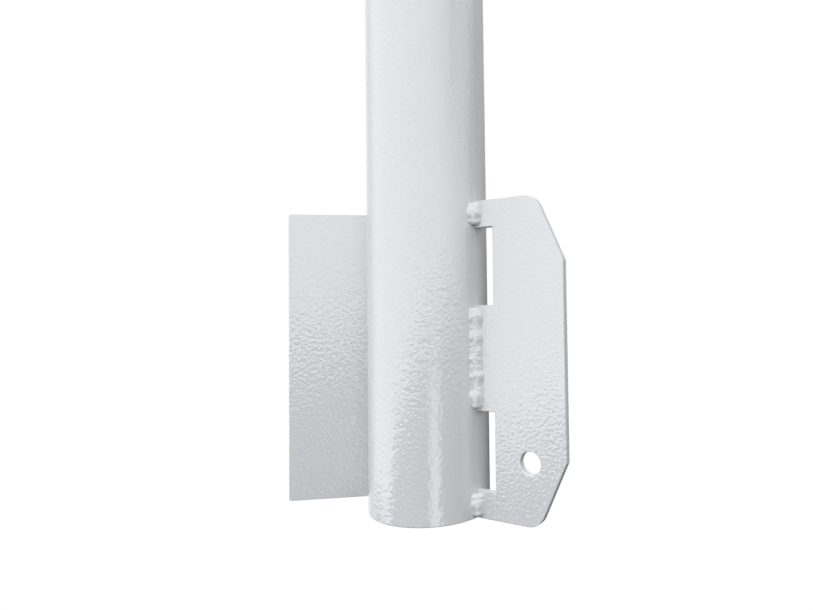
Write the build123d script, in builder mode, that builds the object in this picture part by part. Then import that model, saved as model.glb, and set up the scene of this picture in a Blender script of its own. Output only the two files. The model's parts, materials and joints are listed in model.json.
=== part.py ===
from build123d import *

import os
from math import asin, degrees, sqrt

# Retail security gate. A round post drops over a floor spigot and carries a slotted lug and a
# plain side plate at its foot. A sprung leaf turns on the same axis above the post.
# Millimetres, +Z up. The origin is the centre of the post's open bottom end, and the lug and
# the closed leaf both point along +X.

# ---------------------------------------------------------------- driving dimensions
# Post and column tube
tube_od = 60.0
tube_wall = 3.0
post_height = 360.0
column_height = 612.0
tube_end_radius = 0.5

# Socket that drops over the floor spigot
socket_bore_d = 55.0
socket_depth = 150.0

# Lug: three tabs welded to the tube with two slots between them, measured from the tube
plate_thickness = 3.5
plate_edge_radius = 0.4
lug_height = 150.0
lug_width = 46.5
lug_slot_width = 10.0
lug_end_tab = 13.0
lug_middle_tab = 50.0
lug_chamfer_width = 14.0
lug_chamfer_height = 30.5
lug_end_corner_radius = 9.0
lug_upper_shoulder_radius = 5.0
lug_lower_shoulder_radius = 1.0
lug_hole_d = 10.5
lug_hole_from_tube = 28.5
lug_hole_height = 28.5

# Side plate: a plain rectangle set into the far side of the tube, 140 degrees round from the lug
side_angle = 220.0
side_inset = 6.0
side_height = 150.0
side_width = 42.0
side_corner_radius = 1.5

# Weld beads
bead_radius = 5.5
bead_leg = 4.5
bead_end_gap = 1.0
rail_weld_leg = 4.0

# Fixed pivot core inside the post and the column
core_od = 42.0
core_wall = 4.0
ring_height = 12.0
running_clearance = 0.05
plain_clearance = 0.6

# Axial stack above the post
thrust_washer_thickness = 3.0
bush_height = 30.0
stop_collar_height = 20.0
stop_collar_gap = 3.0
stack_gap = 0.5
retainer_thickness = 4.0
retainer_overlap = 4.5
retainer_bolt_d = 12.0
bolt_head_height = 7.5
bolt_head_flats = 18.0
core_top_drop = 30.0

# Swing stop
swing_range = 90.0
stop_screw_d = 8.0
stop_screw_angle = 135.0
stop_screw_tip_gap = 1.5
stop_screw_stand_out = 0.3
stop_clearance = 0.5
hex_socket_flats = 4.0
hex_socket_depth = 3.5

# Return spring
spring_wire_d = 4.0
spring_turns = 12
spring_pitch = 5.0
spring_shoulder_length = 6.0
spring_end_gap = 0.1
driver_height = 12.0

# Cap
cap_thickness = 4.0
cap_skirt_height = 12.0
cap_skirt_wall = 2.5
cap_edge_radius = 2.0

# Leaf
rail_od = 32.0
rail_wall = 2.0
leaf_reach = 800.0
leaf_corner_radius = 90.0
lower_rail_from_column = 77.0
upper_rail_from_top = 55.0
bar_od = 16.0
bar_wall = 1.5
bar_count = 5

# ---------------------------------------------------------------- derived places
tube_r = tube_od / 2
tube_bore_r = tube_r - tube_wall
socket_r = socket_bore_d / 2
core_r = core_od / 2
core_top = post_height + thrust_washer_thickness + column_height - core_top_drop
column_base = post_height + thrust_washer_thickness
column_top = column_base + column_height
lower_bush_top = column_base + bush_height
collar_base = lower_bush_top + stop_collar_gap
collar_top = collar_base + stop_collar_height
collar_mid = collar_base + stop_collar_height / 2
collar_r = tube_bore_r - plain_clearance
spring_r = (core_r + tube_bore_r) / 2
spring_base = collar_top + spring_wire_d / 2 + stack_gap
spring_top = spring_base + spring_turns * spring_pitch
driver_base = spring_top + spring_wire_d / 2 + stack_gap
retainer_r = core_r + retainer_overlap
side_offset = tube_r - side_inset
rail_r = rail_od / 2
bar_r = bar_od / 2
lower_rail_z = column_base + lower_rail_from_column
upper_rail_z = column_top - upper_rail_from_top
leaf_end_x = leaf_reach - rail_r
bar_spacing = (leaf_end_x - rail_r - tube_r) / (bar_count + 1)


def save(piece, name):
    """Label a finished piece and write it as its own STEP file."""
    piece.part.label = name
    export_step(piece.part, f"parts/{name}.step")


def ring(outer_r, inner_r, base, height):
    """A plain ring or tube about the pivot axis, standing on z = base."""
    with BuildPart() as body:
        with BuildSketch(Plane.XY.offset(base)):
            Circle(outer_r)
            Circle(inner_r, mode=Mode.SUBTRACT)
        extrude(amount=height)
    return body


def weld_bead(radial_angle, face, side, low, high):
    """A fillet weld in the corner between the tube and one face of a plate.

    The plate runs out along radial_angle. Its welded face is at the signed distance `face`
    from the axis, and the bead lies on the `side` (+1 or -1) of that face. The bead is a round
    bar centred on the corner's bisector, cut back by the tube and by the plate.
    """
    corner = Vector(sqrt(tube_r**2 - face**2), face)
    along_plate = Vector(1, 0)
    along_tube = Vector(-face, corner.X) * (side / tube_r)
    bisector = (along_plate + along_tube).normalized()
    leg_in, leg_across = bead_leg * bisector.X, bead_leg * bisector.Y
    centre = corner - bisector * (sqrt(bead_radius**2 - leg_across**2) - leg_in)
    section = Plane(
        origin=(0, 0, low),
        x_dir=Vector(1, 0, 0).rotate(Axis.Z, radial_angle),
        z_dir=(0, 0, 1),
    )
    with BuildPart() as bead:
        with BuildSketch(section):
            with Locations(centre):
                Circle(bead_radius)
            Circle(tube_r, mode=Mode.SUBTRACT)
            with Locations((corner.X, face - side * tube_r)):
                Rectangle(2 * tube_r, 2 * tube_r, mode=Mode.SUBTRACT)
        extrude(amount=high - low)
    return bead


def rail_weld(height):
    """The ring weld where a leaf rail butts against the column."""
    with BuildPart() as weld:
        with BuildSketch(Plane.XZ):
            with BuildLine():
                Polyline(
                    (0, height + rail_r),
                    (tube_r + rail_weld_leg, height + rail_r),
                    (tube_r - rail_weld_leg, height + rail_r + 2 * rail_weld_leg),
                    (0, height + rail_r + 2 * rail_weld_leg),
                    close=True,
                )
            make_face()
        revolve(axis=Axis((0, 0, height), (1, 0, 0)))
        with BuildSketch(Plane.XY.offset(height - tube_od)):
            Circle(tube_r)
        extrude(amount=2 * tube_od, mode=Mode.SUBTRACT)
    return weld


def leaf_bar(x):
    """One upright bar of the leaf, coped at both ends to sit on the rails."""
    with BuildPart() as bar:
        with BuildSketch(Plane.XY.offset(lower_rail_z)):
            with Locations((x, 0)):
                Circle(bar_r)
                Circle(bar_r - bar_wall, mode=Mode.SUBTRACT)
        extrude(amount=upper_rail_z - lower_rail_z)
        with BuildSketch(Plane.YZ.offset(x - bar_od)):
            with Locations((0, lower_rail_z), (0, upper_rail_z)):
                Circle(rail_r)
        extrude(amount=2 * bar_od, mode=Mode.SUBTRACT)
    return bar


os.makedirs("parts", exist_ok=True)

# ---------------------------------------------------------------- post and its foot
# Post tube: the lower end is reamed as the socket for the floor spigot.
with BuildPart() as post_tube:
    with BuildSketch(Plane.XY):
        Circle(tube_r)
        Circle(tube_bore_r, mode=Mode.SUBTRACT)
    extrude(amount=post_height)
    with BuildSketch(Plane.XY):
        Circle(socket_r)
    extrude(amount=socket_depth, mode=Mode.SUBTRACT)
    bottom_rims = post_tube.edges().group_by(Axis.Z)[0]
    fillet(bottom_rims.sort_by(SortBy.RADIUS)[-1], radius=tube_end_radius)
save(post_tube, "post_tube")

# Lug plate: the outer corners are cut back, and two slots leave three tabs at the tube.
lug_outer = tube_r + lug_width
lug_slot_edge = tube_r + lug_slot_width
lug_middle = lug_height / 2
lug_slot_height = (lug_height - lug_middle_tab) / 2 - lug_end_tab
lug_slot_centre = lug_middle_tab / 2 + lug_slot_height / 2
with BuildPart() as lug_plate:
    with BuildSketch(Plane.XZ):
        with BuildLine():
            Polyline(
                (0, 0),
                (lug_outer - lug_chamfer_width, 0),
                (lug_outer, lug_chamfer_height),
                (lug_outer, lug_height - lug_chamfer_height),
                (lug_outer - lug_chamfer_width, lug_height),
                (0, lug_height),
                close=True,
            )
        make_face()
        fillet(vertices().group_by(Axis.X)[1], radius=lug_end_corner_radius)
        upper_shoulder = vertices().group_by(Axis.X)[-1].sort_by(Axis.Y)[-1]
        fillet(upper_shoulder, radius=lug_upper_shoulder_radius)
        lower_shoulder = vertices().group_by(Axis.X)[-1].sort_by(Axis.Y)[0]
        fillet(lower_shoulder, radius=lug_lower_shoulder_radius)
        with Locations(
            (lug_slot_edge / 2, lug_middle - lug_slot_centre),
            (lug_slot_edge / 2, lug_middle + lug_slot_centre),
        ):
            Rectangle(lug_slot_edge, lug_slot_height, mode=Mode.SUBTRACT)
        with Locations((tube_r + lug_hole_from_tube, lug_hole_height)):
            Circle(lug_hole_d / 2, mode=Mode.SUBTRACT)
    extrude(amount=plate_thickness / 2, both=True)
    fillet(lug_plate.faces().filter_by(Axis.Y).edges(), radius=plate_edge_radius)
    with BuildSketch(Plane.XY):
        Circle(tube_r)
    extrude(amount=lug_height, mode=Mode.SUBTRACT)
save(lug_plate, "lug_plate")

# Side plate: it stands on a plane set in from the far side of the tube.
side_face = Plane(
    origin=Vector(0, -side_offset, 0).rotate(Axis.Z, side_angle),
    x_dir=Vector(1, 0, 0).rotate(Axis.Z, side_angle),
    z_dir=Vector(0, -1, 0).rotate(Axis.Z, side_angle),
)
with BuildPart() as side_plate:
    with BuildSketch(side_face):
        with Locations(((tube_r + side_width) / 2, side_height / 2)):
            Rectangle(tube_r + side_width, side_height)
        fillet(vertices().group_by(Axis.X)[-1], radius=side_corner_radius)
    extrude(amount=plate_thickness)
    side_faces = side_plate.faces().sort_by(SortBy.AREA)[-2:]
    fillet(side_faces.edges(), radius=plate_edge_radius)
    with BuildSketch(Plane.XY):
        Circle(tube_r)
    extrude(amount=side_height, mode=Mode.SUBTRACT)
save(side_plate, "side_plate")

# Weld beads: one on each face of each tab, and stitches on both faces of the side plate.
tabs = {
    "bottom": (0, lug_end_tab),
    "middle": (lug_middle - lug_middle_tab / 2, lug_middle + lug_middle_tab / 2),
    "top": (lug_height - lug_end_tab, lug_height),
}
lug_weld_faces = {"front": -1, "rear": 1}
for face_name, side in lug_weld_faces.items():
    for tab_name, (low, high) in tabs.items():
        bead = weld_bead(0, side * plate_thickness / 2, side, low + bead_end_gap, high - bead_end_gap)
        save(bead, f"lug_weld_{face_name}_{tab_name}")
side_weld_faces = {"front": (-side_offset, 1), "rear": (-side_offset - plate_thickness, -1)}
for face_name, (face, side) in side_weld_faces.items():
    bead = weld_bead(side_angle, face, side, bead_end_gap, side_height - bead_end_gap)
    save(bead, f"side_weld_{face_name}")

# ---------------------------------------------------------------- fixed pivot, inside the tubes
# Two rings hold the core tube central in the post. The lower one is also the spigot's stop.
lower_spacer_ring = ring(tube_bore_r, core_r, socket_depth, ring_height)
save(lower_spacer_ring, "lower_spacer_ring")
upper_spacer_ring = ring(tube_bore_r, core_r, post_height - ring_height, ring_height)
save(upper_spacer_ring, "upper_spacer_ring")
pivot_core = ring(core_r, core_r - core_wall, socket_depth, core_top - socket_depth)
save(pivot_core, "pivot_core")

# Plug welded into the top of the core, tapped for the retaining bolt.
core_plug = ring(core_r - core_wall, retainer_bolt_d / 2, core_top - bush_height, bush_height)
save(core_plug, "core_plug")

# Washer that carries the column's weight on the post.
thrust_washer = ring(tube_r, core_r + plain_clearance, post_height, thrust_washer_thickness)
save(thrust_washer, "thrust_washer")

# Washer and bolt that keep the column from being lifted off.
retaining_washer = ring(retainer_r, retainer_bolt_d / 2, core_top, retainer_thickness)
save(retaining_washer, "retaining_washer")
with BuildPart() as retaining_bolt:
    with BuildSketch(Plane.XY.offset(core_top - bush_height)):
        Circle(retainer_bolt_d / 2)
    extrude(amount=bush_height + retainer_thickness)
    with BuildSketch(Plane.XY.offset(core_top + retainer_thickness)):
        RegularPolygon(bolt_head_flats / 2, 6, major_radius=False)
    extrude(amount=bolt_head_height)
save(retaining_bolt, "retaining_bolt")

# Stop collar: a C-shaped collar on the core. The gap in it lets the stop screw travel, and
# the shoulder on top of it holds the lower end of the return spring.
screw_half_angle = degrees(asin((stop_screw_d / 2 + stop_clearance) / core_r))
gap_start = stop_screw_angle - screw_half_angle
gap_angle = swing_range + 2 * screw_half_angle
with BuildPart() as stop_collar:
    with BuildSketch(Plane.XY.offset(collar_base)):
        Circle(collar_r)
        Circle(core_r, mode=Mode.SUBTRACT)
        with BuildLine():
            gap_arc = CenterArc((0, 0), tube_od, gap_start, gap_angle)
            Line((0, 0), gap_arc @ 0)
            Line(gap_arc @ 1, (0, 0))
        make_face(mode=Mode.SUBTRACT)
    extrude(amount=stop_collar_height)
    with BuildSketch(Plane.XY.offset(collar_top)):
        with Locations((spring_r, -spring_end_gap - spring_shoulder_length / 2)):
            Rectangle(spring_wire_d, spring_shoulder_length)
        Circle(collar_r, mode=Mode.INTERSECT)
    extrude(amount=stack_gap + spring_wire_d)
save(stop_collar, "stop_collar")

# Return spring: a torsion spring round the core, with its lower end against the shoulder.
with BuildPart() as return_spring:
    with BuildLine():
        coil = Helix(spring_pitch, spring_turns * spring_pitch, spring_r, center=(0, 0, spring_base))
    with BuildSketch(Plane(origin=coil @ 0, z_dir=coil % 0)):
        Circle(spring_wire_d / 2)
    sweep(path=coil, is_frenet=True)
save(return_spring, "return_spring")

# ---------------------------------------------------------------- turning column
with BuildPart() as column_tube:
    with BuildSketch(Plane.XY.offset(column_base)):
        Circle(tube_r)
        Circle(tube_bore_r, mode=Mode.SUBTRACT)
    extrude(amount=column_height)
    with BuildSketch(Plane.YZ.rotated((0, 0, stop_screw_angle))):
        with Locations((0, collar_mid)):
            Circle(stop_screw_d / 2)
    extrude(amount=tube_od, mode=Mode.SUBTRACT)
save(column_tube, "column_tube")

# Plain bushes pressed into the column and running on the core.
bush_bore_r = core_r + running_clearance
lower_bush = ring(tube_bore_r, bush_bore_r, column_base, bush_height)
save(lower_bush, "lower_bush")
upper_bush = ring(tube_bore_r, bush_bore_r, core_top - stack_gap - bush_height, bush_height)
save(upper_bush, "upper_bush")

# Socket set screw through the column wall: its tip meets the ends of the stop collar's gap.
screw_tip_r = core_r + stop_screw_tip_gap
screw_end_r = tube_r + stop_screw_stand_out
screw_section = Plane.YZ.rotated((0, 0, stop_screw_angle))
with BuildPart() as stop_screw:
    with BuildSketch(screw_section.offset(screw_tip_r)):
        with Locations((0, collar_mid)):
            Circle(stop_screw_d / 2)
    extrude(amount=screw_end_r - screw_tip_r)
    with BuildSketch(screw_section.offset(screw_end_r)):
        with Locations((0, collar_mid)):
            RegularPolygon(hex_socket_flats / 2, 6, major_radius=False)
    extrude(amount=-hex_socket_depth, mode=Mode.SUBTRACT)
save(stop_screw, "stop_screw")

# Collar fixed in the column that winds the spring's upper end.
spring_driver = ring(tube_bore_r, core_r + plain_clearance, driver_base, driver_height)
save(spring_driver, "spring_driver")

# Push-in plastic cap.
with BuildPart() as column_cap:
    with BuildSketch(Plane.XY.offset(column_top)):
        Circle(tube_r)
    extrude(amount=cap_thickness)
    fillet(column_cap.edges().group_by(Axis.Z)[-1], radius=cap_edge_radius)
    with BuildSketch(Plane.XY.offset(column_top)):
        Circle(tube_bore_r)
        Circle(tube_bore_r - cap_skirt_wall, mode=Mode.SUBTRACT)
    extrude(amount=-cap_skirt_height)
save(column_cap, "column_cap")

# ---------------------------------------------------------------- leaf
# Hoop: one bent tube, coped onto the column at both ends.
with BuildPart() as leaf_hoop:
    with BuildLine(Plane.XZ):
        rail_path = FilletPolyline(
            (0, lower_rail_z),
            (leaf_end_x, lower_rail_z),
            (leaf_end_x, upper_rail_z),
            (0, upper_rail_z),
            radius=leaf_corner_radius,
        )
    with BuildSketch(Plane.YZ):
        with Locations((0, lower_rail_z)):
            Circle(rail_r)
            Circle(rail_r - rail_wall, mode=Mode.SUBTRACT)
    sweep(path=rail_path)
    with BuildSketch(Plane.XY.offset(column_base)):
        Circle(tube_r)
    extrude(amount=column_height, mode=Mode.SUBTRACT)
save(leaf_hoop, "leaf_hoop")

for index in range(1, bar_count + 1):
    save(leaf_bar(tube_r + index * bar_spacing), f"leaf_bar_{index}")

save(rail_weld(lower_rail_z), "rail_weld_lower")
save(rail_weld(upper_rail_z), "rail_weld_upper")
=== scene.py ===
"""Looks for a retail security gate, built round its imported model.

The post, its lug and side plate, the column and the leaf keep their frame meshes and get a
glossy powder coat. Every weld bead is modelled here from overlapping drops of metal.
"""

import json
import logging
import math
import random
from dataclasses import dataclass, field
from enum import Enum
from typing import Any, Iterable, Sequence

import bpy
from mathutils import Matrix, Vector


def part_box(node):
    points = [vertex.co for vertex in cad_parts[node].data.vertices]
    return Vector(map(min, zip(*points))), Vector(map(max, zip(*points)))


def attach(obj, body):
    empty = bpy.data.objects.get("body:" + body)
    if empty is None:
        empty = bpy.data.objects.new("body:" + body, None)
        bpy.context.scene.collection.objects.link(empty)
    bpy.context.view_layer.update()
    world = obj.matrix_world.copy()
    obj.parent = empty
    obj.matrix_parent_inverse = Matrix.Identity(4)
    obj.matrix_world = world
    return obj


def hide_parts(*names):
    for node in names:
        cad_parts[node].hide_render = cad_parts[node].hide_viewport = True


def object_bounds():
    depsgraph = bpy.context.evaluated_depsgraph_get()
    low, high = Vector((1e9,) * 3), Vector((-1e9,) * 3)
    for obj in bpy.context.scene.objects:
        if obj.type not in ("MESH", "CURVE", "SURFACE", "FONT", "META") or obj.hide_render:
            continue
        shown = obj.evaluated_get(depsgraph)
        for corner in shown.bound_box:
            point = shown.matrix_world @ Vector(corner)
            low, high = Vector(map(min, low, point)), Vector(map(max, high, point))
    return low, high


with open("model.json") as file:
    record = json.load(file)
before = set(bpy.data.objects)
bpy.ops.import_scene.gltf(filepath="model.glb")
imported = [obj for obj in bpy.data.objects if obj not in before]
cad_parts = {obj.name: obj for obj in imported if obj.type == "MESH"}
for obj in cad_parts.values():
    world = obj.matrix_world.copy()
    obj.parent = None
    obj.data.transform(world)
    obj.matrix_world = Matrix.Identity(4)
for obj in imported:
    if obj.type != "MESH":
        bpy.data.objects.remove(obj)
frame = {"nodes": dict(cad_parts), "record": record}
CAD_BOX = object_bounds()

MM = 0.001
LOG = logging.getLogger("security_gate")
SEED = 11

Number = float | int
Colour = tuple[float, float, float, float]


# ------------------------------------------------------------------ shader helpers
class Signal:
    """One output socket, with the arithmetic of Math nodes."""

    def __init__(self, graph: "Graph", socket: bpy.types.NodeSocket) -> None:
        """Wraps a socket.

        Args:
            graph: The graph that the socket belongs to.
            socket: The output socket.
        """
        self.graph = graph
        self.socket = socket

    def _math(self, operation: str, first: Any, second: Any) -> "Signal":
        """Adds one Math node.

        Args:
            operation: The node's operation.
            first: Its first value or signal.
            second: Its second value or signal.

        Returns:
            The node's result.
        """
        return self.graph.add("ShaderNodeMath", {"operation": operation}, {0: first, 1: second})

    def __add__(self, other: Any) -> "Signal":
        """self + other."""
        return self._math("ADD", self, other)

    def __radd__(self, other: Number) -> "Signal":
        """other + self."""
        return self._math("ADD", other, self)

    def __mul__(self, other: Any) -> "Signal":
        """self * other."""
        return self._math("MULTIPLY", self, other)

    def __rmul__(self, other: Number) -> "Signal":
        """other * self."""
        return self._math("MULTIPLY", other, self)


class Graph:
    """The node tree of a material or of the world."""

    def __init__(self, owner: bpy.types.Material | bpy.types.World) -> None:
        """Takes over a new owner's node tree.

        Args:
            owner: The material or world.
        """
        owner.use_nodes = True
        self.owner = owner
        self.tree = owner.node_tree

    @classmethod
    def of_material(cls, name: str) -> "Graph":
        """Makes a new material.

        Args:
            name: Its name.

        Returns:
            Its graph, with the shader and the object's own coordinates at hand.
        """
        graph = cls(bpy.data.materials.new(name))
        graph.shader = graph.tree.nodes["Principled BSDF"]
        graph.place = graph.add("ShaderNodeTexCoord", {}, {}, output="Object")
        return graph

    def add(
        self,
        kind: str,
        settings: dict[str, Any],
        values: dict[str | int, Any],
        output: str | int = 0,
    ) -> Signal:
        """Adds a node.

        Args:
            kind: The node's type.
            settings: Its properties, set before its sockets.
            values: Its input sockets' values or signals, by name or index.
            output: The output socket to return.

        Returns:
            The signal of that output.
        """
        node = self.tree.nodes.new(kind)
        for name, value in settings.items():
            setattr(node, name, value)
        for name, value in values.items():
            self.feed(node.inputs[name], value)
        return Signal(self, node.outputs[output])

    def feed(self, socket: bpy.types.NodeSocket, value: Any) -> None:
        """Gives an input socket a value, or links a signal to it.

        Args:
            socket: The input socket.
            value: A plain value, or a signal.
        """
        if isinstance(value, Signal):
            self.tree.links.new(value.socket, socket)
        else:
            socket.default_value = value

    def noise(
        self,
        grain: float,
        detail: float,
        stretch: Sequence[float] = (1, 1, 1),
    ) -> Signal:
        """Noise from 0 to 1 with features of a given size.

        Args:
            grain: The size of a feature, in metres.
            detail: How many finer layers it has.
            stretch: How much the noise is squeezed along X, Y and Z.

        Returns:
            The noise's factor.
        """
        spot = self.add("ShaderNodeMapping", {}, {"Vector": self.place, "Scale": stretch})
        values = {"Vector": spot, "Scale": 1 / grain, "Detail": detail, "Roughness": 0.5}
        return self.add("ShaderNodeTexNoise", {}, values)

    def blend(self, factor: Signal, first: Any, second: Any) -> Signal:
        """Mixes two colours.

        Args:
            factor: 0 for the first, 1 for the second.
            first: The first colour.
            second: The second colour.

        Returns:
            The mixed colour.
        """
        settings = {"data_type": "RGBA"}
        values = {0: factor, 6: first, 7: second}
        return self.add("ShaderNodeMix", settings, values, output=2)

    def bump(self, height: Signal) -> None:
        """Sends a height in metres to the shader's normal.

        Args:
            height: The relief.
        """
        values = {"Strength": 1.0, "Distance": 1.0, "Height": height}
        self.feed(self.shader.inputs["Normal"], self.add("ShaderNodeBump", {}, values))


# ------------------------------------------------------------------ finishes
@dataclass(frozen=True)
class PowderCoat:
    """Glossy light powder coat with orange peel."""

    name: str = "powder_coat"
    light: Colour = (0.655, 0.67, 0.685, 1)
    shade: Colour = (0.635, 0.65, 0.665, 1)
    roughness: float = 0.04
    roughness_spread: float = 0.03
    peel_size: float = 0.9 * MM
    peel_height: float = 0.035 * MM
    wave_size: float = 1.7 * MM
    wave_height: float = 0.17 * MM
    gloss: float = 1.0
    ior: float = 1.55
    mottle_size: float = 38 * MM
    haze_size: float = 14 * MM

    def material(self) -> bpy.types.Material:
        """Builds the material."""
        graph = Graph.of_material(self.name)
        shader = graph.shader
        shader.inputs["Specular IOR Level"].default_value = self.gloss
        shader.inputs["IOR"].default_value = self.ior
        mottle = graph.noise(self.mottle_size, detail=3)
        graph.feed(shader.inputs["Base Color"], graph.blend(mottle, self.light, self.shade))
        haze = graph.noise(self.haze_size, detail=2)
        graph.feed(shader.inputs["Roughness"], self.roughness + self.roughness_spread * haze)
        peel = graph.noise(self.peel_size, detail=1.2) * self.peel_height
        wave = graph.noise(self.wave_size, detail=1.0) * self.wave_height
        graph.bump(peel + wave)
        return graph.owner


@dataclass(frozen=True)
class TurnedSteel:
    """Bare turned steel with fine circular tool marks."""

    name: str
    colour: Colour = (0.52, 0.52, 0.53, 1)
    roughness: float = 0.32
    roughness_spread: float = 0.2
    groove: float = 0.35 * MM
    groove_height: float = 0.004 * MM
    groove_stretch: tuple[float, float, float] = (0.05, 0.05, 1)
    stain: float = 0.82
    stain_size: float = 9 * MM

    def material(self) -> bpy.types.Material:
        """Builds the material."""
        graph = Graph.of_material(self.name)
        shader = graph.shader
        shader.inputs["Metallic"].default_value = 1.0
        darker = tuple(self.stain * part for part in self.colour[:3]) + (1.0,)
        stains = graph.noise(self.stain_size, detail=4)
        graph.feed(shader.inputs["Base Color"], graph.blend(stains, self.colour, darker))
        grooves = graph.noise(self.groove, detail=2, stretch=self.groove_stretch)
        graph.feed(shader.inputs["Roughness"], self.roughness + self.roughness_spread * grooves)
        graph.bump(grooves * self.groove_height)
        return graph.owner


@dataclass(frozen=True)
class ZincPlate:
    """Bright zinc plate with a faint spangle."""

    name: str = "zinc_plate"
    colour: Colour = (0.70, 0.71, 0.73, 1)
    tint: Colour = (0.62, 0.63, 0.60, 1)
    roughness: float = 0.2
    roughness_spread: float = 0.18
    spangle_size: float = 3 * MM
    grain: float = 0.5 * MM
    grain_height: float = 0.006 * MM

    def material(self) -> bpy.types.Material:
        """Builds the material."""
        graph = Graph.of_material(self.name)
        shader = graph.shader
        shader.inputs["Metallic"].default_value = 1.0
        spangle = graph.noise(self.spangle_size, detail=3)
        graph.feed(shader.inputs["Base Color"], graph.blend(spangle, self.colour, self.tint))
        graph.feed(shader.inputs["Roughness"], self.roughness + self.roughness_spread * spangle)
        graph.bump(graph.noise(self.grain, detail=2) * self.grain_height)
        return graph.owner


@dataclass(frozen=True)
class MouldedPlastic:
    """Plain plastic with a fine moulded or machined texture."""

    name: str
    colour: Colour
    shade: Colour
    roughness: float = 0.42
    roughness_spread: float = 0.12
    cloud_size: float = 12 * MM
    grain: float = 0.6 * MM
    grain_height: float = 0.018 * MM

    def material(self) -> bpy.types.Material:
        """Builds the material."""
        graph = Graph.of_material(self.name)
        shader = graph.shader
        clouds = graph.noise(self.cloud_size, detail=4)
        graph.feed(shader.inputs["Base Color"], graph.blend(clouds, self.colour, self.shade))
        grain = graph.noise(self.grain, detail=2)
        graph.feed(shader.inputs["Roughness"], self.roughness + self.roughness_spread * grain)
        graph.bump(grain * self.grain_height)
        return graph.owner


class Finish(Enum):
    """The finish of each of the record's material slots."""

    POWDER_COAT = PowderCoat()
    COATED_WELD = PowderCoat(
        name="coated_weld",
        roughness=0.08,
        peel_height=0.028 * MM,
        wave_size=2.6 * MM,
    )
    TURNED_STEEL = TurnedSteel("turned_steel")
    SPRING_STEEL = TurnedSteel("spring_steel", colour=(0.24, 0.24, 0.25, 1), roughness=0.38)
    ZINC_PLATE = ZincPlate()
    NYLON = MouldedPlastic("nylon", (0.80, 0.78, 0.71, 1), (0.74, 0.72, 0.65, 1))
    CAP_PLASTIC = MouldedPlastic("cap_plastic", (0.56, 0.57, 0.58, 1), (0.52, 0.53, 0.54, 1))


@dataclass
class Paintshop:
    """Makes each finish once and puts it on pieces."""

    made: dict[Finish, bpy.types.Material] = field(default_factory=dict)

    def material(self, finish: Finish) -> bpy.types.Material:
        """The material of a finish, made when it is first asked for.

        Args:
            finish: The finish.

        Returns:
            Its material.
        """
        if finish not in self.made:
            self.made[finish] = finish.value.material()
        return self.made[finish]

    def dress(self, piece: bpy.types.Object, finish: Finish) -> None:
        """Gives a piece one finish all over.

        Args:
            piece: The object to paint.
            finish: Its finish.
        """
        piece.data.materials.clear()
        piece.data.materials.append(self.material(finish))

    def dress_frame(self) -> None:
        """Gives every frame node the finish of its slot in the record."""
        for entry in frame["record"]["subparts"]:
            finish = Finish[entry["material_slot"].upper()]
            self.dress(frame["nodes"][entry["node"]], finish)
            LOG.info("%s: %s", entry["node"], finish.name.lower())


# ------------------------------------------------------------------ weld beads
@dataclass(frozen=True)
class Seam:
    """One point of a welded corner, with the outward normals of the two faces that meet."""

    point: Vector
    first: Vector
    second: Vector

    @property
    def out(self) -> Vector:
        """The way out of the corner."""
        return (self.first + self.second).normalized()

    @property
    def along(self) -> Vector:
        """The way the corner runs."""
        return self.first.cross(self.second).normalized()

    @property
    def half_opening(self) -> float:
        """Half the angle between the two faces, in radians."""
        return (math.pi - self.first.angle(self.second)) / 2


@dataclass(frozen=True)
class Drop:
    """One drop of weld metal: a flattened ball, placed along a seam."""

    seam: Seam
    leg: float
    length: float
    rise: float = 0.0
    sideways: float = 0.0
    tilt: float = 0.0
    twist: float = 0.0
    swell: float = 1.0
    chord_share: float = 1.42
    depth_share: float = 0.5
    bulge_share: float = 0.07
    lean_share: float = 0.14
    subdivisions: int = 3

    def pour(self) -> None:
        """Adds the drop to the mesh that is being edited."""
        chord = self.leg * math.sin(self.seam.half_opening)
        depth = self.leg * math.cos(self.seam.half_opening)
        lift = depth * self.depth_share
        lean = self.leg * self.lean_share
        radii = (chord * self.chord_share, depth - lift + self.leg * self.bulge_share, self.length)
        out, along = self.seam.out, self.seam.along
        across = out.cross(along)
        axes = Matrix((across, out, along)).transposed()
        turned = axes @ Matrix.Rotation(self.tilt, 3, "X") @ Matrix.Rotation(self.twist, 3, "Y")
        bpy.ops.mesh.primitive_ico_sphere_add(
            subdivisions=self.subdivisions,
            radius=1,
            location=self.seam.point + out * (lift + self.rise) + across * (self.sideways - lean),
            rotation=turned.to_euler(),
            scale=[radius * self.swell for radius in radii],
        )


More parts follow.
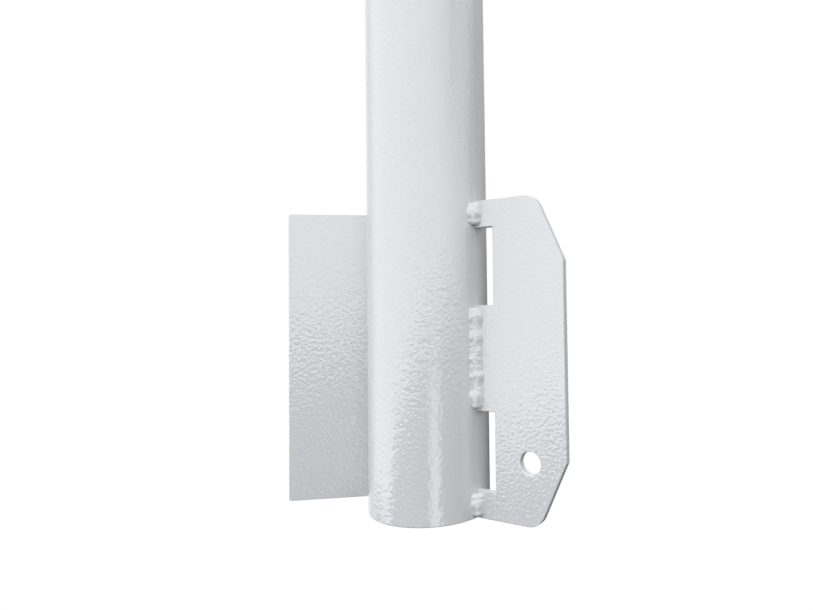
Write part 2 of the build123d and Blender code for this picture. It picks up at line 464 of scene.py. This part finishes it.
@dataclass
class BeadMaker:
    """Fuses drops of metal into one bead with an uneven skin."""

    paint: Paintshop
    dice: random.Random = field(default_factory=lambda: random.Random(SEED))
    voxel: float = 0.35 * MM
    smooth_rounds: int = 8
    skin_grain: float = 3.2 * MM
    skin_height: float = 0.3 * MM
    root_steps: int = 2
    pitch_share: float = 1.9
    length_range: tuple[float, float] = (0.85, 1.1)
    spot_jitter: float = 0.3
    side_jitter: float = 0.12
    rise_range: tuple[float, float] = (0.0, 0.07)
    tilt_range: tuple[float, float] = (0.06, 0.18)
    twist_range: tuple[float, float] = (-0.4, 0.4)
    swell_range: tuple[float, float] = (0.98, 1.08)
    crease_angle: float = math.radians(60)

    def lay(
        self,
        name: str,
        seams: Sequence[Seam],
        leg: float,
        closed: bool,
        body: str,
    ) -> bpy.types.Object:
        """Lays one bead along a welded corner.

        Args:
            name: The new piece's name.
            seams: Points one step apart along the corner.
            leg: How far the bead reaches along either face.
            closed: Whether the corner runs round to its start.
            body: The body that the bead rides on.

        Returns:
            The bead, a closed mesh.
        """
        bpy.ops.object.select_all(action="DESELECT")
        bpy.ops.mesh.primitive_ico_sphere_add(subdivisions=1, radius=self.voxel)
        bead = bpy.context.object
        bead.name = name
        bpy.ops.object.mode_set(mode="EDIT")
        bpy.ops.mesh.delete(type="VERT")
        for drop in self._drops(seams, leg, closed):
            drop.pour()
        bpy.ops.object.mode_set(mode="OBJECT")
        self._skin(bead)
        bpy.ops.object.shade_smooth_by_angle(angle=self.crease_angle)
        self.paint.dress(bead, Finish.COATED_WELD)
        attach(bead, body)
        LOG.info("%s: %d faces", bead.name, len(bead.data.polygons))
        return bead

    def copy(self, bead: bpy.types.Object, name: str, shift: Vector, body: str) -> None:
        """Copies a bead with its own mesh.

        Args:
            bead: The bead.
            name: The copy's name.
            shift: How far the copy is moved.
            body: The body that the copy rides on.
        """
        mesh = bead.data.copy()
        mesh.transform(Matrix.Translation(shift))
        copied = bpy.data.objects.new(name, mesh)
        bpy.context.scene.collection.objects.link(copied)
        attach(copied, body)
        LOG.info("%s: copy of %s", name, bead.name)

    def _drops(self, seams: Sequence[Seam], leg: float, closed: bool) -> list[Drop]:
        """The even drops that fill the corner, and the uneven ones that show as scales.

        Args:
            seams: Points one step apart along the corner.
            leg: How far the bead reaches along either face.
            closed: Whether the corner runs round to its start.

        Returns:
            The drops.
        """
        step = (seams[1].point - seams[0].point).length
        margin = 0 if closed else self.root_steps
        inner = seams[margin : len(seams) - margin]
        drops = [Drop(seam, leg, self.root_steps * step) for seam in inner]
        longest = leg * self.length_range[1]
        margin = 0 if closed else min(math.ceil(longest / step), (len(seams) - 1) // 2)
        inner = seams[margin : len(seams) - margin]
        gaps = round((len(inner) - 1) * step / (self.pitch_share * leg))
        count = max(1, gaps + (0 if closed else 1))
        for index in range(count):
            share = index / count if closed else index / max(1, count - 1)
            wander = self.dice.uniform(-self.spot_jitter, self.spot_jitter) * leg / step
            spot = share * (len(inner) - 1) + wander
            seam = inner[min(len(inner) - 1, max(0, round(spot)))]
            drops.append(self._scale(seam, leg))
        return drops

    def _scale(self, seam: Seam, leg: float) -> Drop:
        """One uneven drop that shows as a scale on the bead.

        Args:
            seam: Where it lies.
            leg: How far the bead reaches along either face.

        Returns:
            The drop.
        """
        return Drop(
            seam,
            leg,
            leg * self.dice.uniform(*self.length_range),
            rise=leg * self.dice.uniform(*self.rise_range),
            sideways=leg * self.dice.uniform(-self.side_jitter, self.side_jitter),
            tilt=self.dice.uniform(*self.tilt_range),
            twist=self.dice.uniform(*self.twist_range),
            swell=self.dice.uniform(*self.swell_range),
        )

    def _skin(self, bead: bpy.types.Object) -> None:
        """Remeshes the drops to one skin, smooths it and makes it uneven.

        Args:
            bead: The drops, joined in one mesh.
        """
        fused = bead.modifiers.new("fused", "REMESH")
        fused.mode = "VOXEL"
        fused.voxel_size = self.voxel
        soft = bead.modifiers.new("soft", "SMOOTH")
        soft.iterations = self.smooth_rounds
        uneven = bead.modifiers.new("uneven", "DISPLACE")
        cloud = bpy.data.textures.new("bead_skin", "CLOUDS")
        cloud.noise_scale = self.skin_grain
        uneven.texture = cloud
        uneven.texture_coords = "LOCAL"
        uneven.strength = self.skin_height
        for modifier in (fused, soft, uneven):
            bpy.ops.object.modifier_apply(modifier=modifier.name)


@dataclass
class FootWelds:
    """The beads that hold the lug and the side plate to the post."""

    maker: BeadMaker
    leg: float = 4.5 * MM
    side_bearing: float = math.radians(220)
    side_front: float = -24.0 * MM
    side_rear: float = -27.5 * MM
    step: float = 1.0 * MM

    def build(self) -> None:
        """Models each bead in place of its plain node."""
        post_low, post_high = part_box("post_tube")
        self.tube_radius = (post_high[0] - post_low[0]) / 2
        lug_low, lug_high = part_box("lug_plate")
        faces = {
            "lug_weld_front": (0.0, lug_low[1], -1),
            "lug_weld_rear": (0.0, lug_high[1], 1),
            "side_weld_front": (self.side_bearing, self.side_front, 1),
            "side_weld_rear": (self.side_bearing, self.side_rear, -1),
        }
        for start, (bearing, face, side) in faces.items():
            for name in sorted(node for node in frame["nodes"] if node.startswith(start)):
                low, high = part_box(name)
                seams = self._seams(bearing, face, side, low[2], high[2])
                bead = self.maker.lay(name.replace("weld", "bead"), seams, self.leg, False, "post")
                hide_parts(name)

    def _seams(self, bearing: float, face: float, side: int, low: float, high: float) -> list[Seam]:
        """The corner between the tube and one face of an upright plate.

        Args:
            bearing: The way the plate runs out, in radians.
            face: The face's distance from the tube's axis.
            side: Which side of the face is welded, 1 or -1.
            low: The bead's lower end.
            high: Its upper end.

        Returns:
            Points from the lower end to the upper one.
        """
        turn = Matrix.Rotation(bearing, 3, "Z")
        reach = math.sqrt(self.tube_radius**2 - face**2)
        corner = turn @ Vector((reach, face, 0))
        plate = turn @ Vector((0, side, 0))
        count = round((high - low) / self.step)
        heights = [low + (high - low) * index / count for index in range(count + 1)]
        tube = corner.normalized()
        return [Seam(corner + Vector((0, 0, height)), tube, plate) for height in heights]


@dataclass
class LeafWelds:
    """The beads that hold the rails to the column and the bars to the rails."""

    maker: BeadMaker
    rail_leg: float = 4.0 * MM
    bar_leg: float = 2.2 * MM
    step: float = 1.0 * MM

    def build(self) -> None:
        """Models the two rail beads in place of their nodes, and adds a bead at each bar's ends."""
        column_low, column_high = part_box("column_tube")
        hoop_low, hoop_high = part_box("leaf_hoop")
        self.column_radius = (column_high[0] - column_low[0]) / 2
        self.rail_radius = (hoop_high[1] - hoop_low[1]) / 2
        lower, upper = hoop_low[2] + self.rail_radius, hoop_high[2] - self.rail_radius
        for name, height in {"rail_weld_lower": lower, "rail_weld_upper": upper}.items():
            seams = self._rail_seams(height)
            bead = self.maker.lay(name.replace("weld", "bead"), seams, self.rail_leg, True, "leaf")
            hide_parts(name)
        self._bar_beads("bar_bead_foot", lower, 1)
        self._bar_beads("bar_bead_head", upper, -1)

    def _bar_beads(self, name: str, height: float, side: int) -> None:
        """Models the bead at one end of the first bar, and copies it to the other bars.

        Args:
            name: The start of the pieces' names.
            height: The height of the rail's axis.
            side: 1 where the bars stand on the rail, -1 where they hang from it.
        """
        bars = [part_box(node) for node in sorted(frame["nodes"]) if node.startswith("leaf_bar")]
        places = [(low[0] + high[0]) / 2 for low, high in bars]
        radius = (bars[0][1][0] - bars[0][0][0]) / 2
        seams = self._bar_seams(places[0], radius, height, side)
        first = self.maker.lay(name + "_1", seams, self.bar_leg, True, "leaf")
        for number, place in enumerate(places[1:], start=2):
            shift = Vector((place - places[0], 0, 0))
            self.maker.copy(first, f"{name}_{number}", shift, "leaf")

    def _turns(self, radius: float) -> list[float]:
        """Angles round a tube, about one step apart.

        Args:
            radius: The tube's radius.

        Returns:
            The angles in radians.
        """
        count = round(2 * math.pi * radius / self.step)
        return [2 * math.pi * index / count for index in range(count)]

    def _rail_seams(self, height: float) -> list[Seam]:
        """The corner where a rail meets the column.

        Args:
            height: The height of the rail's axis.

        Returns:
            Points round the rail.
        """
        seams = []
        for angle in self._turns(self.rail_radius):
            rail = Vector((0, math.cos(angle), math.sin(angle)))
            across = self.rail_radius * rail.y
            column = Vector((math.sqrt(self.column_radius**2 - across**2), across, 0))
            point = column + Vector((0, 0, height + self.rail_radius * rail.z))
            seams.append(Seam(point, column.normalized(), rail))
        return seams

    def _bar_seams(self, middle: float, radius: float, height: float, side: int) -> list[Seam]:
        """The corner where a bar meets a rail.

        Args:
            middle: The place of the bar's axis along the leaf.
            radius: The bar's radius.
            height: The height of the rail's axis.
            side: 1 where the bar stands on the rail, -1 where it hangs from it.

        Returns:
            Points round the bar.
        """
        seams = []
        for angle in self._turns(radius):
            bar = Vector((math.cos(angle), math.sin(angle), 0))
            across = radius * bar.y
            rail = Vector((0, across, side * math.sqrt(self.rail_radius**2 - across**2)))
            point = Vector((middle + radius * bar.x, 0, height)) + rail
            seams.append(Seam(point, bar, rail.normalized()))
        return seams


# ------------------------------------------------------------------ studio
@dataclass(frozen=True)
class Softbox:
    """One square soft light, placed round the viewing direction."""

    name: str
    bearing: float
    height: float
    distance: float
    size: float
    power: float
    aim_height: float = 0.12


@dataclass(frozen=True)
class Edge:
    """The soft edge of one half of the surround, given as the viewer sees it."""

    towards: Sequence[float]
    middle: float
    width: float

    @classmethod
    def level(cls, bearing: Number, middle: float, width: float, drop: float = 0.0) -> "Edge":
        """The edge of a half round a bearing.

        Args:
            bearing: Its angle from straight ahead of the viewer to the right, in degrees.
            middle: How far along that direction the edge lies.
            width: The edge's width.
            drop: How far the direction falls.

        Returns:
            The edge.
        """
        angle = math.radians(bearing)
        return cls((math.sin(angle), math.cos(angle), -drop), middle, width)


@dataclass(frozen=True)
class Surround:
    """What the object reflects and is lit by, as the viewer sees it (X right, Y away from them)."""

    ceiling: Edge = Edge((0, 0, 1), 0.08, 0.7)
    window_sill: Edge = Edge((-0.088, 0.13, 1), -0.17, 0.02)
    window_jamb: Edge = Edge((-1, 0, -0.75), -0.70, 0.82)
    window_reveal: Edge = Edge((-1, 0, 0.25), 0.825, 0.02)
    gap_edges: tuple[Edge, ...] = (
        Edge.level(89, 0, 0.01),
        Edge.level(-109, 0, 0.01),
        Edge((0, 0, -1), 0.115, 0.01),
    )
    left_wall: Edge = Edge.level(-124, 0.04, 0.08)
    right_corner: Edge = Edge.level(103, -0.115, 0.12, drop=0.5)
    corner_rise: Edge = Edge((0, 0, 1), 0.13, 0.6)
    behind: Edge = Edge((0, 1, 0), 0.5, 0.5)
    doorway: Edge = Edge.level(66, 0.86, 0.14)
    doorway_rise: Edge = Edge((0, 0, 1), -0.07, 0.3)
    dark_colour: Colour = (0.0, 0.0, 0.0, 1)
    dim_colour: Colour = (1.02, 1.02, 1.02, 1)
    window_colour: Colour = (1.75, 1.78, 1.81, 1)
    gap_colour: Colour = (1.7, 1.7, 1.7, 1)
    wall_colour: Colour = (1.02, 1.02, 1.02, 1)
    left_wall_colour: Colour = (0.8, 0.8, 0.8, 1)
    corner_low_colour: Colour = (0.03, 0.025, 0.02, 1)
    corner_high_colour: Colour = (0.5, 0.49, 0.48, 1)
    doorway_low_colour: Colour = (0.1, 0.09, 0.08, 1)
    doorway_high_colour: Colour = (0.34, 0.33, 0.32, 1)

    def build(self, view_bearing: float) -> None:
        """Makes the world.

        Args:
            view_bearing: How far the viewer stands turned from the frame, in radians.
        """
        world = bpy.data.worlds.new("studio")
        graph = Graph(world)
        turn = Matrix.Rotation(view_bearing, 3, "Z")
        gaze = graph.add("ShaderNodeTexCoord", {}, {}, output="Generated")
        upper = self._past(graph, gaze, turn, self.ceiling)
        front = self._front(graph, gaze, turn, upper)
        wall = self._wall(graph, gaze, turn)
        behind = self._past(graph, gaze, turn, self.behind)
        back = graph.tree.nodes["Background"]
        graph.feed(back.inputs["Color"], graph.blend(behind, front, wall))
        bpy.context.scene.world = world

    def _front(self, graph: Graph, gaze: Signal, turn: Matrix, upper: Signal) -> Signal:
        """The room in front of the object: a window, a narrow gap and a doorway.

        Args:
            graph: The world's graph.
            gaze: The direction looked in.
            turn: The turn from the viewer's directions to the frame's.
            upper: 1 in the room's upper part, 0 in its lower part.

        Returns:
            Its colour.
        """
        front = graph.blend(upper, self.dark_colour, self.dim_colour)
        sill = self._past(graph, gaze, turn, self.window_sill)
        jamb = self._past(graph, gaze, turn, self.window_jamb)
        front = graph.blend(sill * jamb, front, self.window_colour)
        reveal = self._past(graph, gaze, turn, self.window_reveal)
        front = graph.blend(reveal, front, self.window_colour)
        first, last, below = (self._past(graph, gaze, turn, edge) for edge in self.gap_edges)
        front = graph.blend(first * last * below, front, self.gap_colour)
        rise = self._past(graph, gaze, turn, self.doorway_rise)
        door = graph.blend(rise, self.doorway_low_colour, self.doorway_high_colour)
        return graph.blend(self._past(graph, gaze, turn, self.doorway), front, door)

    def _wall(self, graph: Graph, gaze: Signal, turn: Matrix) -> Signal:
        """The pale wall behind the object, with its dark corner on the right.

        Args:
            graph: The world's graph.
            gaze: The direction looked in.
            turn: The turn from the viewer's directions to the frame's.

        Returns:
            Its colour.
        """
        left = self._past(graph, gaze, turn, self.left_wall)
        wall = graph.blend(left, self.wall_colour, self.left_wall_colour)
        rise = self._past(graph, gaze, turn, self.corner_rise)
        corner = graph.blend(rise, self.corner_low_colour, self.corner_high_colour)
        return graph.blend(self._past(graph, gaze, turn, self.right_corner), wall, corner)

    def _past(self, graph: Graph, gaze: Signal, turn: Matrix, edge: Edge) -> Signal:
        """Where the direction looked in is past an edge.

        Args:
            graph: The world's graph.
            gaze: The direction looked in.
            turn: The turn from the viewer's directions to the frame's.
            edge: The edge.

        Returns:
            1 past the edge, 0 before it.
        """
        axis = turn @ Vector(edge.towards).normalized()
        settings = {"operation": "DOT_PRODUCT"}
        along = graph.add("ShaderNodeVectorMath", settings, {0: gaze, 1: axis}, "Value")
        low, high = edge.middle - edge.width / 2, edge.middle + edge.width / 2
        values = {"Value": along, "From Min": low, "From Max": high}
        return graph.add("ShaderNodeMapRange", {"interpolation_type": "SMOOTHSTEP"}, values)


@dataclass
class Studio:
    """The camera, the floor, the plain backdrop, the surround and one soft light."""

    view_bearing: float = math.radians(38.531)
    camera_distance: float = 304.907 * MM
    camera_height: float = 97.259 * MM
    yaw: float = 0.1362
    pitch: float = 0.0354
    roll: float = -0.0153
    lens: float = 26.470
    sensor: float = 36.0
    shift: tuple[float, float] = (-0.12694, -0.01929)
    clip_start: float = 10 * MM
    floor_size: float = 8.0
    backdrop_colour: Colour = (1.02, 1.02, 1.02, 1)
    backdrop_segments: int = 64
    backdrop_rings: int = 32
    surround: Surround = Surround()
    softbox: Softbox = Softbox("top", bearing=150, height=2.4, distance=1.0, size=1.6, power=12)

    def build(self) -> None:
        """Sets up the whole studio."""
        self._camera()
        self._floor()
        self._backdrop()
        self.surround.build(self.view_bearing)
        self._light(self.softbox)
        bpy.context.scene.view_settings.view_transform = "Standard"

    def _turn(self, vector: Vector) -> Vector:
        """Turns a direction, as the viewer sees it (X right, Y away from them), into the frame's.

        Args:
            vector: The direction.

        Returns:
            The same direction in the frame.
        """
        return Matrix.Rotation(self.view_bearing, 3, "Z") @ vector

    def _camera(self) -> None:
        """Adds the camera."""
        data = bpy.data.cameras.new("camera")
        data.lens = self.lens
        data.sensor_width = self.sensor
        data.shift_x, data.shift_y = self.shift
        data.clip_start = self.clip_start
        camera = bpy.data.objects.new("camera", data)
        bpy.context.scene.collection.objects.link(camera)
        level = math.cos(self.pitch)
        rise = math.sin(self.pitch)
        ahead = Vector((math.sin(self.yaw) * level, math.cos(self.yaw) * level, rise))
        across = Vector((math.cos(self.yaw), -math.sin(self.yaw), 0))
        upright = across.cross(ahead)
        right = across * math.cos(self.roll) + upright * math.sin(self.roll)
        up = upright * math.cos(self.roll) - across * math.sin(self.roll)
        axes = Matrix((self._turn(right), self._turn(up), self._turn(-ahead))).transposed()
        place = self._turn(Vector((0, -self.camera_distance, self.camera_height)))
        camera.matrix_world = Matrix.Translation(place) @ axes.to_4x4()
        bpy.context.scene.camera = camera

    def _blank(self, name: str) -> bpy.types.Material:
        """A plain pale material that takes no shadow.

        Args:
            name: Its name.

        Returns:
            The material.
        """
        graph = Graph.of_material(name)
        graph.shader.inputs["Base Color"].default_value = (0, 0, 0, 1)
        graph.shader.inputs["Specular IOR Level"].default_value = 0
        graph.shader.inputs["Emission Color"].default_value = self.backdrop_colour
        graph.shader.inputs["Emission Strength"].default_value = 1.0
        graph.owner.cycles.emission_sampling = "NONE"
        return graph.owner

    def _floor(self) -> None:
        """Adds the floor."""
        bpy.ops.object.select_all(action="DESELECT")
        bpy.ops.mesh.primitive_plane_add(size=self.floor_size, location=(0, 0, CAD_BOX[0][2]))
        floor = bpy.context.object
        floor.name = "floor"
        floor.data.materials.append(self._blank("floor"))
        floor.visible_diffuse = False
        floor.visible_glossy = False

    def _backdrop(self) -> None:
        """Adds a plain pale backdrop all round, which only the camera sees."""
        bpy.ops.object.select_all(action="DESELECT")
        bpy.ops.mesh.primitive_uv_sphere_add(
            segments=self.backdrop_segments,
            ring_count=self.backdrop_rings,
            radius=self.floor_size,
        )
        backdrop = bpy.context.object
        backdrop.name = "backdrop"
        backdrop.data.materials.append(self._blank("backdrop"))
        backdrop.visible_diffuse = False
        backdrop.visible_glossy = False
        backdrop.visible_transmission = False
        backdrop.visible_shadow = False

    def _light(self, softbox: Softbox) -> None:
        """Adds one light, aimed at the foot of the post.

        Args:
            softbox: The light's place, size and power.
        """
        data = bpy.data.lights.new(softbox.name, "AREA")
        data.shape = "SQUARE"
        data.size = softbox.size
        data.energy = softbox.power
        lamp = bpy.data.objects.new(softbox.name, data)
        bpy.context.scene.collection.objects.link(lamp)
        lamp.visible_camera = False
        angle = math.radians(softbox.bearing)
        level = Vector((math.sin(angle), -math.cos(angle), 0)) * softbox.distance
        place = self._turn(level) + Vector((0, 0, softbox.height))
        aim = Vector((0, 0, softbox.aim_height)) - place
        turn = aim.to_track_quat("-Z", "Y").to_matrix().to_4x4()
        lamp.matrix_world = Matrix.Translation(place) @ turn


def main() -> None:
    """Builds the looks and reports each piece."""
    logging.basicConfig(level=logging.INFO, format="%(name)s: %(message)s")
    Studio().build()
    paint = Paintshop()
    paint.dress_frame()
    maker = BeadMaker(paint)
    FootWelds(maker).build()
    LeafWelds(maker).build()


if __name__ == "__main__":
    main()
